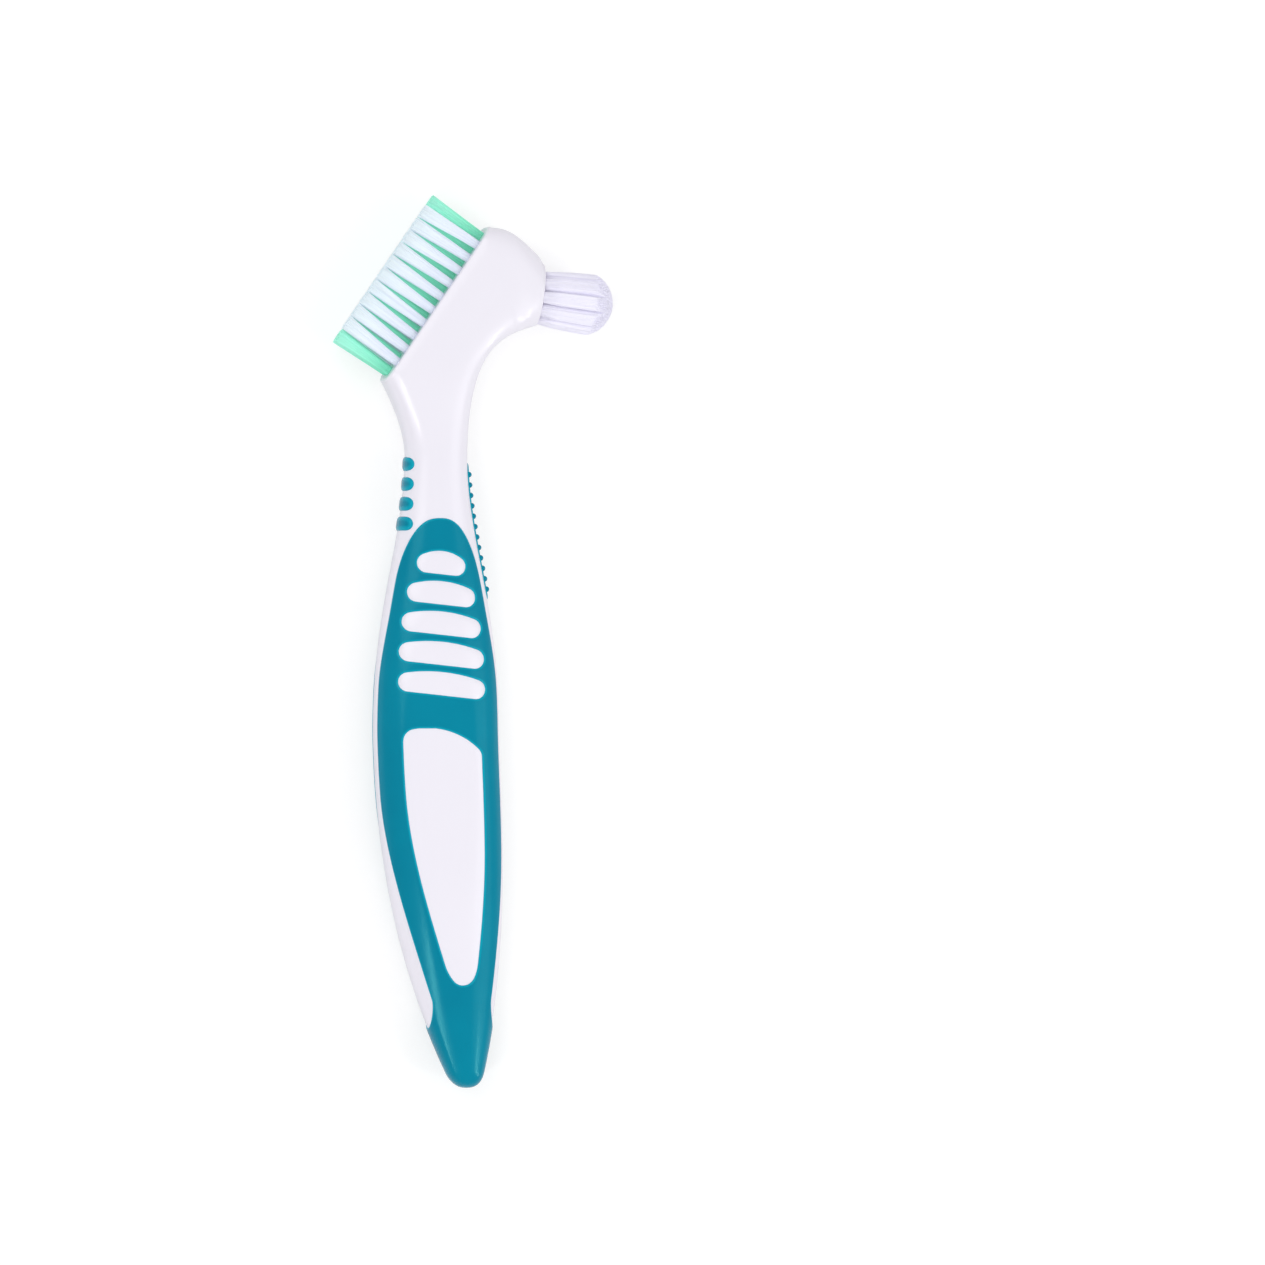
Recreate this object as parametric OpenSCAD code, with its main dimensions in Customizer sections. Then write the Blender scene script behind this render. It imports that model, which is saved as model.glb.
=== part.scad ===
// Denture brush: a moulded handle with a soft grip, a wide brush along the slanted head and a
// small round brush opposite. It lies on its back: X is across, Y runs to the head, Z is up.
// The origin is the middle of the flat landing on the back of the handle.

/* [Handle] */
// Length from the origin to the end of the tail
tail_len = 52.2; // [44:0.1:62]
// Length from the origin to the widest place of the handle
belly_y = 16; // [10:0.5:22]
// Length from the origin to the narrowest place of the neck
neck_y = 74; // [68:0.5:82]
// Width of the handle at its widest place
belly_w = 25.2; // [22:0.1:28]
// Thickness of the handle between its two flat landings
belly_t = 14; // [13:0.1:16]
// Height of the crown that the landings cut off
crown = 0.4; // [0.3:0.05:0.6]
// Width of the neck
neck_w = 12.4; // [11.6:0.1:15]
// Thickness of the neck
neck_t = 10; // [9:0.1:12]
// Width of the tail just before its round end
tail_w = 5; // [4.6:0.1:9]
// Thickness of the tail just before its round end
tail_t = 5.6; // [4.5:0.1:8]
// Length of the round end of the tail
tail_round = 4.5; // [3:0.1:6]
// Sideways bend of the tail
tail_bend = 6.2; // [0:0.1:9]

/* [Head] */
// Length of the flat face that carries the main brush
face_len = 35.3; // [30:0.1:40]
// Slope of that face from the X axis, in degrees
face_slope = 55.5; // [50:0.5:60]
// Middle of that face, across
face_x = -1.4; // [-3:0.1:0]
// Middle of that face, along
face_y = 104; // [102:0.1:110]
// Thickness of the head
head_t = 12.8; // [12.4:0.1:13.8]
// Diameter of the seat of the small brush
seat_d = 11.3; // [10.6:0.1:13]
// Slope of the small brush from the X axis, in degrees
seat_slope = -7.4; // [-15:0.1:5]
// Middle of the seat, across
seat_x = 20; // [18:0.1:24]
// Middle of the seat, along
seat_y = 105.4; // [102:0.1:109]

/* [Soft grip] */
// Depth of the recess that holds the soft parts
recess = 0.8; // [0.5:0.05:1.2]
// How far the soft parts stand proud of the handle
proud = 0.3; // [0.1:0.05:0.5]
// Clearance round the outline of each soft part
seam = 0.04; // [0.02:0.01:0.1]
// Length from the origin to the top of the grip
grip_top = 61.3; // [56:0.1:66]
// Length of the rounded top of the grip
grip_round = 13.3; // [9:0.1:17]
// Least height of the bare strip along the edge of the handle
edge_strip = 2; // [1:0.1:3]
// Rim of bare handle beside the grip at the belly
rim = 0.85; // [0.6:0.05:1.5]
// Rim of bare handle beside the grip at the tail
tail_rim = 2; // [1.5:0.05:3.2]
// Rim of bare handle beside the top of the grip
top_rim = 1.4; // [1:0.05:2]
// Length from the origin down to where the grip wraps the whole tail
wrap_y = 40.6; // [37:0.1:43]
// Length over which the grip widens to that wrap
wrap_flare = 4.9; // [3:0.1:7]
// Width of the soft band round the window
band = 3.75; // [2.5:0.05:5]
// Length from the origin to the top of the window
window_top = 19.5; // [13:0.1:21]
// Length from the origin down to the bottom of the window
window_bottom = 32.4; // [26:0.1:34]
// Corner radius of the window
window_round = 2.4; // [1.5:0.1:3]
// Radius of the arched top edge of the window
window_arch = 15; // [12:0.5:20]
// How far the top of that arch lies left of the centre line
window_lead = 2.9; // [0:0.1:4]
// Number of slots above the window
slots = 5; // [3:1:5]
// Length from the origin to the lowest slot
slot_y = 27.9; // [26:0.1:30]
// Distance from slot to slot
slot_pitch = 6.03; // [5.4:0.01:6.4]
// Width of a slot at its ends
slot_w = 3.8; // [3:0.1:4.2]
// Soft rim between the ends of the lowest slot and the sides of the grip
slot_rim = 2.45; // [1.6:0.05:3.5]
// Soft rim between the top of the grip and the oval along which the slots end
slot_top_rim = 4.4; // [3:0.1:6]
// Rise of the upper edge of a slot above its ends
slot_arch = 0.8; // [0:0.05:1.1]
// Tilt of the slots, in degrees
slot_tilt = 6.3; // [0:0.1:10]

/* [Finger bars] */
// Number of bars on the left edge of the neck
bars = 4; // [2:1:4]
// Length from the origin to the lowest bar
bar_y = 60.2; // [58:0.1:62]
// Distance from bar to bar
bar_pitch = 3.96; // [3.5:0.02:4.4]
// Width of a bar
bar_w = 2.8; // [2:0.1:3.2]
// Distance from the centre line of the handle to the round inner ends of the bars
bar_in = 5; // [4.6:0.1:5.4]

/* [Thumb pad] */
// Length from the origin to the lower end of the pad
pad_y = 45; // [42:0.1:50]
// Length of the pad
pad_len = 27.4; // [22:0.1:30]
// Width of the pad
pad_w = 4.2; // [4:0.1:5.4]
// Distance from nub to nub along a row
nub_pitch = 2.08; // [1.8:0.02:2.6]
// Rim of the pad outside the outer rows of nubs
nub_rim = 0.15; // [0.1:0.05:0.6]
// Diameter of a nub
nub_d = 1.3; // [1:0.05:1.4]
// Height of a nub above the pad
nub_h = 0.6; // [0.3:0.05:0.65]

/* [Main brush] */
// Distance from tuft to tuft along an outer row
outer_pitch = 3.17; // [3.05:0.01:3.3]
// Distance from tuft to tuft along a middle row
middle_pitch = 3.26; // [3.05:0.01:3.4]
// Least distance from each end of the face to the middle of a tuft
tuft_inset = 1.3; // [1.3:0.05:2.6]
// Distance between the two middle rows
middle_gap = 3.1; // [3.02:0.02:3.3]
// Distance from a middle row to an outer row
outer_gap = 2.75; // [2.74:0.01:2.9]
// Length of the bristles above the face
bristle_len = 12.7; // [10:0.1:16]
// Least gap between the trimmed ends of two tufts, on either brush
tip_gap = 0.05; // [0.02:0.01:0.5]

/* [Small brush] */
// Rim of the seat outside the middles of the outer tufts
seat_rim = 1.4; // [1.3:0.05:2]
// Distance from tuft to tuft round the outer ring
ring_pitch = 2.5; // [2.4:0.02:2.9]
// Distance from the outer ring of tufts in to the inner ones
ring_gap = 2.45; // [2.3:0.05:2.7]
// Distance from tuft to tuft round the inner ones
core_pitch = 2.5; // [2.4:0.02:3]
// How far the outer tufts spread by the start of the dome
spread = 0.3; // [0.1:0.05:0.8]
// Length of the small brush to the top of its dome
dome_len = 14.9; // [12:0.1:17]
// Radius of the dome
dome_r = 6.5; // [6.2:0.1:9]

/* [Tuft holes and anchors] */
// Diameter of a tuft hole
hole_d = 1.7; // [1.6:0.02:1.8]
// Depth of a tuft hole
hole_depth = 3.5; // [3:0.1:4.5]
// Clearance between a tuft and its hole
hole_fit = 0.05; // [0.03:0.01:0.08]
// Thickness of an anchor
anchor_t = 0.3; // [0.2:0.02:0.4]
// Height of an anchor
anchor_h = 1.2; // [0.8:0.1:1.5]
// Clearance round an anchor
anchor_fit = 0.03; // [0.02:0.01:0.06]
// Thickness of the fold of bristles under an anchor
fold = 0.35; // [0.25:0.05:0.5]

/* [Hidden] */
$fn = 32;

white = "#eeebf5";
teal = "#07839f";
mint = "#9fe6d2";
steel = "#c9c9c4";

// How finely the lofts are drawn
ring_points = 32;
handle_steps = 26;
flare_steps = 5;
face_steps = 6;
top_steps = 8;
round_angles = [12, 35, 60];
far = 60;

// Shape of the sections: 2 is an ellipse, larger is squarer
handle_square = 2.6;
head_square = 4.5;
seat_square = 2;
// How the width, the bend and the wrap grow along the handle
neck_ease = 1.27;
tail_ease = 2.5;
bend_ease = 1.5;
wrap_ease = 2.2;
// Where the centre line runs straight, and where it starts to bend
straight_x = -1;
bend_y = 20;

mid_z = belly_t/2;
face_c = [face_x, face_y];
seat_c = [seat_x, seat_y];

// Small maths
function lerp(a, b, f) = a + (b - a)*f;
function limit(f) = max(0, min(1, f));
function ease(f) = limit(f)*limit(f)*(3 - 2*limit(f));
function ray(a) = [cos(a), sin(a)];
function signed_pow(v, p) = sign(v)*pow(abs(v), p);
function bezier(p, f) = pow(1 - f, 3)*p[0] + 3*f*pow(1 - f, 2)*p[1]
  + 3*f*f*(1 - f)*p[2] + pow(f, 3)*p[3];

// Handle: centre line, half width and half thickness at a height y, before the round end
function below_belly(y) = max(0, (belly_y - y)/(belly_y + tail_len));
function above_belly(y) = limit((y - belly_y)/(neck_y - belly_y));
function centre_x(y) = straight_x + tail_bend*pow(max(0, (bend_y - y)/(bend_y + tail_len)), bend_ease);
function half_w(y) = y < belly_y
  ? lerp(belly_w, tail_w, pow(below_belly(y), tail_ease))/2
  : lerp(neck_w, belly_w, (1 + cos(180*pow(above_belly(y), neck_ease)))/2)/2;
function half_t(y) = y < belly_y
  ? lerp(belly_t/2 + crown, tail_t/2, pow(below_belly(y), tail_ease))
  : lerp(belly_t/2 + crown, neck_t/2, ease(above_belly(y)));
function edge_x(y, z) = half_w(y)*pow(1 - pow(abs(z)/half_t(y), handle_square), 1/handle_square);

// A station is its left end, right end, half thickness, squareness and share of any growth
function handle_station(y, share) = [
  [centre_x(y) - half_w(y)*share, y], [centre_x(y) + half_w(y)*share, y],
  half_t(y)*share, handle_square, share];
function round_y(a, grow) = tail_round - tail_len - (tail_round + grow)*cos(a);
function tail_stations(grow) = [for (a = round_angles) handle_station(round_y(a, grow), sin(a))];

// Evenly spaced stations from the round end to the neck, which every loft shares
tail_y = tail_round - tail_len;
station_gap = (neck_y - tail_y)/handle_steps;
function handle_stations(first, last) = [for (i = [first:last]) handle_station(tail_y + i*station_gap, 1)];

// Head: the face of the main brush, the seat of the small one and the curves between them
face_dir = ray(face_slope);
face_out = ray(face_slope + 90);
face_start = face_c - face_dir*face_len/2;
face_end = face_c + face_dir*face_len/2;
face_cut = 1.5;
// Reach and slope of the handles that draw the curves of the head
flare_reach = 4.5;
heel_lead = [2, -5];
crotch_reach = 22;
arm_reach = 7.5;
arm_slope = 16;
brow_reach = 4;
brow_slope = 10;
lobe_reach = 8.5;
lobe_slope = 110;
seat_low = seat_c - ray(seat_slope + 90)*seat_d/2;
seat_high = seat_c + ray(seat_slope + 90)*seat_d/2;
neck_left = [centre_x(neck_y) - neck_w/2, neck_y];
neck_right = [centre_x(neck_y) + neck_w/2, neck_y];
flare_curve = [neck_left, neck_left + [0, flare_reach], face_start + heel_lead,
  face_start + face_cut*face_out];
crotch_curve = [neck_right, neck_right + [0, crotch_reach], seat_low - arm_reach*ray(arm_slope), seat_low];
top_curve = [face_end + face_cut*face_out, face_end + brow_reach*ray(brow_slope),
  seat_high + lobe_reach*ray(lobe_slope), seat_high];
// Shares of the crotch curve that face the flare and the main brush
flare_share = 0.36;
face_share = 0.78;

flare_stations = [for (i = [1:flare_steps]) let (f = i/flare_steps)
  [bezier(flare_curve, f), bezier(crotch_curve, flare_share*f),
   lerp(neck_t, head_t, ease(f))/2, lerp(handle_square, head_square, f), 1]];
face_stations = [for (i = [1:face_steps]) let (f = i/face_steps)
  [lerp(face_start, face_end, f) + face_cut*face_out,
   bezier(crotch_curve, lerp(flare_share, face_share, f)), head_t/2, head_square, 1]];
top_stations = [for (i = [1:top_steps]) let (f = i/top_steps)
  [bezier(top_curve, f), bezier(crotch_curve, lerp(face_share, 1, f)),
   lerp(head_t, seat_d, ease(f))/2, lerp(head_square, seat_square, ease(f)), 1]];

// One closed section across a station, flattened where it meets the landings
function section(s, grow) =
  let (mid = (s[0] + s[1])/2, half = (s[1] - s[0])/2, g = grow*s[4],
    stretch = (norm(half) + g)/norm(half), tall = s[2] + g)
  [for (i = [0:ring_points - 1]) let (a = 360*i/ring_points,
    across = mid + half*stretch*signed_pow(cos(a), 2/s[3]),
    up = tall*signed_pow(sin(a), 2/s[3]))
    [across[0], across[1], mid_z + max(-mid_z, min(mid_z, up))]];

module loft(stations, grow) {
  m = ring_points;
  n = len(stations);
  points = [for (s = stations) each section(s, grow)];
  sides = [for (k = [0:n - 2], i = [0:m - 1])
    let (a = k*m + i, b = k*m + (i + 1)%m) each [[a, b + m, a + m], [a, b, b + m]]];
  polyhedron(points, concat([[for (i = [m - 1:-1:0]) i]], sides, [[for (i = [0:m - 1]) (n - 1)*m + i]]));
}

module whole_loft(grow) {
  loft(concat(tail_stations(grow), handle_stations(0, handle_steps), flare_stations, face_stations,
    top_stations), grow);
}

// The handle alone, with its round end, to one station past the neck
module grip_loft(grow) {
  loft(concat(tail_stations(grow), handle_stations(0, handle_steps + 1)), grow);
}

// The layer that a soft part fills between two heights of the handle
module soft_layer(low, high) {
  first = floor((low - tail_y)/station_gap);
  last = ceil((high - tail_y)/station_gap);
  difference() {
    loft(handle_stations(first, last), proud);
    loft(handle_stations(first - 1, last + 1), -recess);
  }
}

// Grip outline: half its width at a height y
function grip_rim(y) = y < belly_y
  ? lerp(rim, tail_rim, ease((-4 - y)/(window_bottom - 4)))*(1 - wrap_share(y))
  : lerp(rim, top_rim, ease((y - slot_y)/16));
function wrap_share(y) = pow(limit((wrap_flare - wrap_y - y)/wrap_flare), wrap_ease);
function grip_half(y) = (half_w(y) - grip_rim(y))
  * pow(1 - pow(limit((y - grip_top + grip_round)/grip_round), 2.6), 1/2.6);

outline_step = 2.5;
grip_heights = [-wrap_y - 4, for (f = [0, 0.2, 0.45, 0.75]) f*wrap_flare - wrap_y,
  each [wrap_flare - wrap_y:outline_step:grip_top - 4], for (d = [3, 1.6, 0.6, 0.15, 0]) grip_top - d];

module grip_face() {
  polygon(concat(
    [for (y = grip_heights) [centre_x(y) + grip_half(y), y]],
    [for (i = [len(grip_heights) - 1:-1:0]) let (y = grip_heights[i]) [centre_x(y) - grip_half(y), y]]));
}

module tail_wrap() {
  translate([-far/2, -wrap_y - far]) square([far, far]);
}

// A slot has a straight lower edge and an arched upper one. The slots end along an oval.
function slot_half(y) = (grip_half(slot_y) - slot_rim)
  * sqrt(1 - pow((y - slot_y)/(grip_top - slot_top_rim - slot_y), 2));

module slot(y) {
  reach = slot_half(y) - slot_w/2;
  translate([centre_x(y), y]) rotate(-slot_tilt) offset(r = slot_w/2, $fn = 24)
    polygon([for (f = [-1:0.25:1]) [f*reach, slot_arch*(1 - f*f)]]);
}

// The window's top edge is an arch that leans to the left
module window() {
  offset(r = window_round, $fn = 24) offset(r = -window_round) intersection() {
    offset(delta = -band) grip_face();
    translate([centre_x(window_top) - window_lead, window_top - window_arch]) {
      circle(window_arch, $fn = 72);
      translate([-window_arch, -far]) square([2*window_arch, far]);
    }
    translate([-far/2, -window_bottom]) square([far, far]);
  }
}

module grip_plan() {
  difference() {
    grip_face();
    window();
    for (i = [0:slots - 1]) slot(slot_y + i*slot_pitch);
  }
}

// The plan, worked into the front and the back of the handle, and joined round the tail
module grip_prism(extra) {
  for (side = [0, 1]) translate([0, 0, mid_z]) mirror([0, 0, side]) translate([0, 0, edge_strip/2])
    linear_extrude(mid_z + 1) offset(delta = extra) grip_plan();
  translate([0, 0, -1]) linear_extrude(belly_t + 2) offset(delta = extra) tail_wrap();
}

module bar_plan(i) {
  y = bar_y + i*bar_pitch;
  end_x = centre_x(y) - bar_in - bar_w/2;
  translate([end_x, y]) {
    circle(d = bar_w);
    translate([-far/4, -bar_w/2]) square([far/4, bar_w]);
  }
}

module bar_prism(i, extra) {
  translate([0, 0, -1]) linear_extrude(belly_t + 2) offset(delta = extra) bar_plan(i);
}

module pad_prism(extra) {
  translate([0, pad_y, mid_z]) rotate([90, 0, 90]) linear_extrude(far) offset(delta = extra)
    translate([pad_w/2, 0]) {
      circle(d = pad_w);
      translate([0, -pad_w/2]) square([pad_len - pad_w, pad_w]);
      translate([pad_len - pad_w, 0]) circle(d = pad_w);
    }
}

// Frames: X along the face and Y out of it, or X out of the seat
module on_face() translate([face_x, face_y, mid_z]) rotate(face_slope) children();
module on_seat() translate([seat_x, seat_y, mid_z]) rotate(seat_slope) children();

// Tuft places, from the face's middle
middle_count = floor((face_len - 2*tuft_inset)/middle_pitch) + 1;
outer_count = middle_count - 1;
function row(count, pitch, z) = [for (i = [0:count - 1]) [(i - (count - 1)/2)*pitch, 0, z]];
front_row = row(outer_count, outer_pitch, middle_gap/2 + outer_gap);
front_middle_row = row(middle_count, middle_pitch, middle_gap/2);
rear_middle_row = row(middle_count, middle_pitch, -middle_gap/2);
rear_row = row(outer_count, outer_pitch, -middle_gap/2 - outer_gap);
rows = concat(front_row, front_middle_row, rear_middle_row, rear_row);
tuft_tip = min([for (a = rows, b = rows) if (a != b) norm(a - b)]) - tip_gap;

// Angles of the small brush's tufts, round its axis, and how wide their ends can grow
ring_r = seat_d/2 - seat_rim;
core_r = 2*(ring_r - ring_gap) < core_pitch ? 0 : ring_r - ring_gap;
function turns(radius, pitch, start) =
  let (count = 2*radius < pitch ? 1 : floor(180/asin(pitch/2/radius)))
  [for (i = [0:count - 1]) start + 360*i/count];
ring_turns = turns(ring_r, ring_pitch, 90);
core_turns = turns(core_r, core_pitch, 45);
ring_tip = 2*(ring_r + spread)*sin(180/len(ring_turns)) - tip_gap;
core_tip = min(len(core_turns) < 2 ? far : 2*core_r*sin(180/len(core_turns)) - tip_gap,
  2*(ring_r + spread - core_r - tip_gap) - ring_tip);

plug_r = hole_d/2 - hole_fit;
plug_depth = hole_depth - hole_fit;
anchor_w = 2*plug_r - 0.1;

module hole() translate([0, 0, -hole_depth]) cylinder(d = hole_d, h = hole_depth + 1, $fn = 14);

// A tuft along Z: a plug folded round its anchor, and bristles that spread to their trimmed ends
module tuft(length, tip) {
  difference() {
    rotate_extrude()
      polygon([[0, -plug_depth], [plug_r, -plug_depth], [plug_r, 0], [tip/2, length], [0, length]]);
    translate([0, 0, fold - plug_depth + anchor_h/2])
      cube([2*hole_d, anchor_t + 2*anchor_fit, anchor_h + 2*anchor_fit], center = true);
  }
}

module anchor() translate([0, 0, fold - plug_depth + anchor_h/2])
  cube([anchor_w, anchor_t, anchor_h], center = true);

module tuft_row(places) on_face()
  for (p = places) translate(p) rotate([-90, 0, 0]) tuft(bristle_len, tuft_tip);

module dome() rotate([0, 90, 0]) rotate_extrude() intersection() {
  union() {
    translate([0, dome_len - dome_r]) circle(dome_r, $fn = 96);
    translate([0, -hole_depth - 1]) square([dome_r, hole_depth + 1 + dome_len - dome_r]);
  }
  translate([0, -hole_depth - 1]) square([dome_r, far]);
}

// Places a child at each turn of a ring on the seat, leaning outwards by the spread of its end
module round_seat(angles, radius, lean) on_seat() for (a = angles)
  rotate([a, 0, 0]) translate([0, 0, radius]) rotate([0, 90 - lean, 0]) children();

ring_lean = atan(spread/(dome_len - dome_r));

module handle() {
  color(white) difference() {
    whole_loft(0);
    on_face() translate([-far, 0, -far/2]) cube([2*far, far, far]);
    difference() {
      union() {
        grip_prism(seam);
        for (i = [0:bars - 1]) bar_prism(i, seam);
        pad_prism(seam);
      }
      grip_loft(-recess);
    }
    on_face() for (p = rows) translate(p) rotate([-90, 0, 0]) hole();
    round_seat(ring_turns, ring_r, ring_lean) hole();
    round_seat(core_turns, core_r, 0) hole();
  }
}

module grip() {
  color(teal) intersection() {
    difference() {
      grip_loft(proud);
      grip_loft(-recess);
    }
    grip_prism(0);
  }
}

module finger_bar(i) {
  y = bar_y + i*bar_pitch;
  color(teal) intersection() {
    soft_layer(y - bar_w, y + bar_w);
    bar_prism(i, 0);
  }
}

module thumb_pad() {
  color(teal) {
    intersection() {
      soft_layer(pad_y, pad_y + pad_len);
      pad_prism(0);
    }
    nubs();
  }
}

module nubs() {
  nub_r = (nub_d*nub_d/4 + nub_h*nub_h)/(2*nub_h);
  nub_row = (pad_w - nub_d)/2 - nub_rim;
  count = floor((pad_len - pad_w)/nub_pitch);
  for (r = [-1:1], i = [0:count - abs(r)])
    let (y = pad_y + pad_w/2 + (i + abs(r)/2)*nub_pitch, z = r*nub_row)
    translate([centre_x(y) + edge_x(y, z) + proud + nub_h - nub_r, y, mid_z + z]) sphere(nub_r);
}

module front_tuft_row() color(white) tuft_row(front_row);
module front_middle_tuft_row() color(mint) tuft_row(front_middle_row);
module rear_middle_tuft_row() color(mint) tuft_row(rear_middle_row);
module rear_tuft_row() color(white) tuft_row(rear_row);

module small_brush_ring() color(white) intersection() {
  round_seat(ring_turns, ring_r, ring_lean) tuft(dome_len, ring_tip);
  on_seat() dome();
}

module small_brush_core() color(white) intersection() {
  round_seat(core_turns, core_r, 0) tuft(dome_len, core_tip);
  on_seat() dome();
}

module main_brush_anchors() color(steel) on_face()
  for (p = rows) translate(p) rotate([-90, 0, 0]) anchor();

module small_brush_anchors() color(steel) {
  round_seat(ring_turns, ring_r, ring_lean) anchor();
  round_seat(core_turns, core_r, 0) anchor();
}

handle();
grip();
finger_bar(0);  // finger_bar_1
finger_bar(1);  // finger_bar_2
finger_bar(2);  // finger_bar_3
finger_bar(3);  // finger_bar_4
thumb_pad();
front_tuft_row();
front_middle_tuft_row();
rear_middle_tuft_row();
rear_tuft_row();
small_brush_ring();
small_brush_core();
main_brush_anchors();
small_brush_anchors();
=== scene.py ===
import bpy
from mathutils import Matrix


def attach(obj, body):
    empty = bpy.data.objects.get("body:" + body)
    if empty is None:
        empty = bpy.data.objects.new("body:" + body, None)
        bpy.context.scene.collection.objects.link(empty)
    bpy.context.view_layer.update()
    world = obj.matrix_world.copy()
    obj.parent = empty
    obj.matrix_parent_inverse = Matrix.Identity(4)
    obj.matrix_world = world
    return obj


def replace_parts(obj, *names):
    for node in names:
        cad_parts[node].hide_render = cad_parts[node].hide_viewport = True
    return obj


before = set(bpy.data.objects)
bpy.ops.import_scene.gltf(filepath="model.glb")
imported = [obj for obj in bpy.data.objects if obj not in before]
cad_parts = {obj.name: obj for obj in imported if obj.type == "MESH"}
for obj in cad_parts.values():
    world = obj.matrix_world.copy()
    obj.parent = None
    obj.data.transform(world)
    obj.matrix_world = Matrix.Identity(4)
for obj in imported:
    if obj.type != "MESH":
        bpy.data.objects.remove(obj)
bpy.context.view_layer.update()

import math
import random

import bmesh
import bpy
import numpy as np
from mathutils import Matrix, Vector
from mathutils.geometry import delaunay_2d_cdt

MM = 0.001

# Sizes of part.scad in millimetres and degrees. Where one differs a little from it, the skin is
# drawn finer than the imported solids.

# Plan of the handle
TAIL_LEN = 52.13
BELLY_Y = 16.0
NECK_Y = 74.0
BELLY_W = 25.2
NECK_W = 12.4
TAIL_W = 5.2
TAIL_ROUND = 3.2      # length of the rounded end
TAIL_SQ = 2.8         # power of the oval that the end follows
NECK_EASE = 1.27
TAIL_EASE = 2.5
STRAIGHT_X = -1.0     # the centre line's place above BEND_Y
BEND_Y = 20.0
TAIL_BEND = 6.2       # how far the tail's end swings towards +X
BEND_EASE = 1.5

# Thickness of the handle
BELLY_T = 14.0
CROWN = 0.4           # the loft rises this far past BELLY_T/2, and landed() holds it down
NECK_T = 10.0
TAIL_T = 5.6
MID = BELLY_T/2
LAND = 6.74           # the white plastic lies this far from mid thickness on the landings
LAND_SHARP = 7.0      # how sharply it turns into a landing
PROUD = 0.26          # the soft parts stand this far above it

# Powers of the ovals that the sections follow
HANDLE_SQ = 2.6
HEAD_SQ = 4.5
SEAT_SQ = 2.0

# Head: the slanted face of the main brush and the round seat of the small one
FACE_LEN = 35.3
FACE_SLOPE = 55.5
FACE_C = np.array([-1.4, 104.0])
FACE_CUT = 1.5        # the loft runs this far past the face, where cap() cuts it
HEAD_T = 12.8
SEAT_D = 11.3
SEAT_SLOPE = -7.4
SEAT_C = np.array([20.0, 105.4])
FACE_EDGE = 0.55      # radius to which the rim round the face is rounded
SEAT_EDGE = 0.4       # the same for the seat

# Grip
GRIP_TOP = 61.3
GRIP_ROUND = 13.3     # length of its rounded top
GRIP_SQ = 2.6         # power of the oval that the top follows
WRAP_Y = 40.4         # below -WRAP_Y it wraps the whole tail
WRAP_FLARE = 5.6      # over this length it widens to the wrap
WRAP_EASE = 1.4
# For the left side (-1) and the right side (1): the white rim beside the grip at the belly, the
# tail and the top, the y below which it grows towards the tail, and the length of that growth
RIMS = {-1: (0.35, 2.2, 0.85, 6.0, 38.0), 1: (0.8, 1.4, 1.3, -4.0, 28.4)}
RIM_TOP_LEN = 16.0    # over this length it grows towards the top

# Window in the grip, from -WINDOW_BOTTOM to WINDOW_TOP
BAND_LEFT = 4.5
BAND_RIGHT = 3.75
WINDOW_TOP = 19.5
WINDOW_BOTTOM = 32.1
WINDOW_ROUND = 2.4
WINDOW_ARCH = 15.0    # radius of its arched top
WINDOW_LEAD = 2.9     # the arch is centred this far to the left
WINDOW_OVAL = 4.5     # length of its oval lower end
WINDOW_SQ = 2.2

# Slots in the grip, and the white bars that show in them
SLOTS = 5
SLOT_Y = 27.9
SLOT_PITCH = 6.03
SLOT_W = 3.8
SLOT_REACH = 8.8
SLOT_SHIFT = 0.15
SLOT_TOP_RIM = 4.4
SLOT_ARCH = 0.8
SLOT_TILT = 6.3
SLOT_BAR_H = 0.21
SLOT_BAR_ROUND = 1.75

# Finger bars
BARS = 4
BAR_Y = 60.2
BAR_PITCH = 3.96
BAR_W = 2.8
BAR_IN = 4.95         # from the centre line to a bar's end
BAR_SPLAY = 0.13      # each lower bar ends this much further out

# Thumb pad and its nubs
PAD_Y = 45.0
PAD_LEN = 27.4
PAD_W = 4.2
NUB_PITCH = 2.08
NUB_RIM = 0.15
NUB_D = 1.2
NUB_H = 0.52
NUB_SUNK = 0.08

# Main brush
OUTER_PITCH = 3.17
MIDDLE_PITCH = 3.26
TUFT_INSET = 1.3
MIDDLE_GAP = 3.1
OUTER_GAP = 2.75
BRISTLE_LEN = 12.7
ROW_TRIMS = (0.45, 0.0, -0.4, -0.8)     # a slight slant, from the front row to the rear one
ROW_LEAN = -0.055     # the outer rows' tufts lean towards the middle by this share of their place

# Small brush
SEAT_RIM = 1.4
RING_GAP = 2.45
RING_TUFTS = 10
CORE_TUFTS = 4
SPREAD = 0.3
DOME_LEN = 14.9
DOME_R = 6.5

HOLE_D = 1.7
HOLE_DEPTH = 3.5

TAIL_Y = TAIL_ROUND - TAIL_LEN

# Small maths


def lerp(a, b, f):
    return a + (b - a)*f


def clamp(f):
    return min(1.0, max(0.0, f))


def ease(f):
    f = clamp(f)
    return f*f*(3 - 2*f)


def ray(a):
    return np.array([math.cos(math.radians(a)), math.sin(math.radians(a))])


def bezier(p, f):
    """A point of the cubic curve with the four control points p."""
    return (1 - f)**3*p[0] + 3*f*(1 - f)**2*p[1] + 3*f*f*(1 - f)*p[2] + f**3*p[3]


def centre_x(y):
    return STRAIGHT_X + TAIL_BEND*max(0.0, (BEND_Y - y)/(BEND_Y + TAIL_LEN))**BEND_EASE


def above_belly(y):
    return clamp((y - BELLY_Y)/(NECK_Y - BELLY_Y))


def below_belly(y):
    return max(0.0, (BELLY_Y - y)/(BELLY_Y + TAIL_LEN))


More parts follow.
